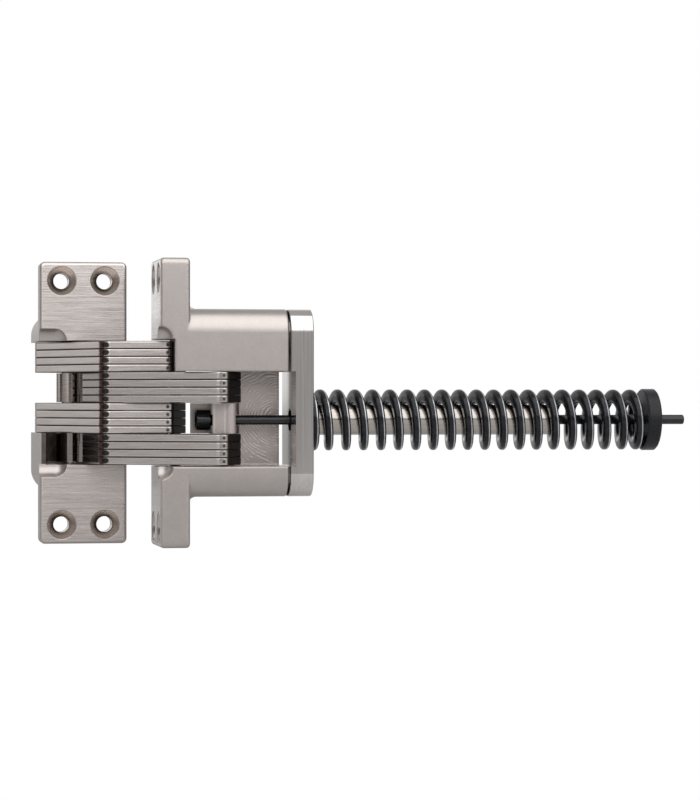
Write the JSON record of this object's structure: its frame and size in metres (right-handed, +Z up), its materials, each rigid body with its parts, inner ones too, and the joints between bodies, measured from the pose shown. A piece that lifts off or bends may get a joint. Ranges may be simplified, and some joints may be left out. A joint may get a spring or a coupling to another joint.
{
  "type": "concealed closer hinge",
  "caption": "Concealed mortise hinge with two leaves on crossing link plates and a coil spring on a pull rod that closes the door.",
  "frame": {"origin": "centre of the jamb leaf's screw pattern, on the back of its flange where it seats in the mortise", "axes": "+X to the right along the spring with the hinge half open, +Y into the jamb, +Z up along the pins"},
  "size_m": [0.2691, 0.0981, 0.1174],
  "materials": {
    "satin_nickel": "satin nickel plated casting",
    "link_steel": "satin nickel plated steel plate",
    "bright_tube": "polished nickel",
    "black_oxide": "black oxide"
  },
  "bodies": {
    "jamb_leaf": {"jamb_leaf_casting": "satin_nickel", "jamb_pivot_pin": "link_steel"},
    "links_b": {"link_b_1": "link_steel", "link_b_2": "link_steel", "link_b_3": "link_steel", "link_b_4": "link_steel", "link_b_5": "link_steel", "link_b_6": "link_steel", "link_b_7": "link_steel", "link_b_8": "link_steel", "center_pin": "link_steel"},
    "links_a": {"link_a_1": "link_steel", "link_a_2": "link_steel", "link_a_3": "link_steel", "link_a_4": "link_steel", "link_a_5": "link_steel", "link_a_6": "link_steel", "link_a_7": "link_steel", "link_a_8": "link_steel", "jamb_slide_pin": "link_steel", "jamb_upper_sleeve": "link_steel", "jamb_lower_sleeve": "link_steel"},
    "door_leaf": {"door_leaf_casting": "satin_nickel", "door_pivot_pin": "link_steel", "end_cap": "satin_nickel", "end_cap_screws": "black_oxide", "guide_tube": "bright_tube", "closer_spring": "black_oxide"},
    "crosshead": {"crosshead": "link_steel", "door_sleeve": "link_steel"},
    "pull_rod": {"pull_rod": "black_oxide", "spring_collar": "black_oxide"}
  },
  "joints": [
    {"name": "jamb_pivot", "type": "hinge", "parent": "jamb_leaf", "child": "links_b", "pos_m": [0.01385, -0.0023, 0], "axis": [0, 0, 1], "range_deg": [-60.81, 60.81], "stiffness_Nm_per_rad": 0.2, "springref_deg": -60.81},
    {"name": "center_pivot", "type": "hinge", "parent": "links_b", "child": "links_a", "pos_m": [0.01241, -0.02681, 0], "axis": [0, 0, 1], "range_deg": [-31.67, 31.67]},
    {"name": "door_pivot", "type": "hinge", "parent": "links_a", "child": "door_leaf", "pos_m": [0.03693, -0.02538, 0], "axis": [0, 0, 1], "range_deg": [-60.86, 60.86]},
    {"name": "crosshead_pivot", "type": "hinge", "parent": "links_b", "child": "crosshead", "pos_m": [0.0563, -0.04216, 0], "axis": [0, 0, 1], "range_deg": [-29.24, 29.24]},
    {"name": "rod_slide", "type": "slide", "parent": "door_leaf", "child": "pull_rod", "axis": [1, 0, 0], "range_m": [-0.00945, 0.00945], "deforming": ["closer_spring"]}
  ],
  "couplings": [
    {"joint": "center_pivot", "follows": "jamb_pivot", "ratio": -0.52},
    {"joint": "door_pivot", "follows": "jamb_pivot", "ratio": 1},
    {"joint": "crosshead_pivot", "follows": "jamb_pivot", "ratio": 0.48},
    {"joint": "rod_slide", "follows": "jamb_pivot", "m_per_rad": -0.0088059}
  ]
}
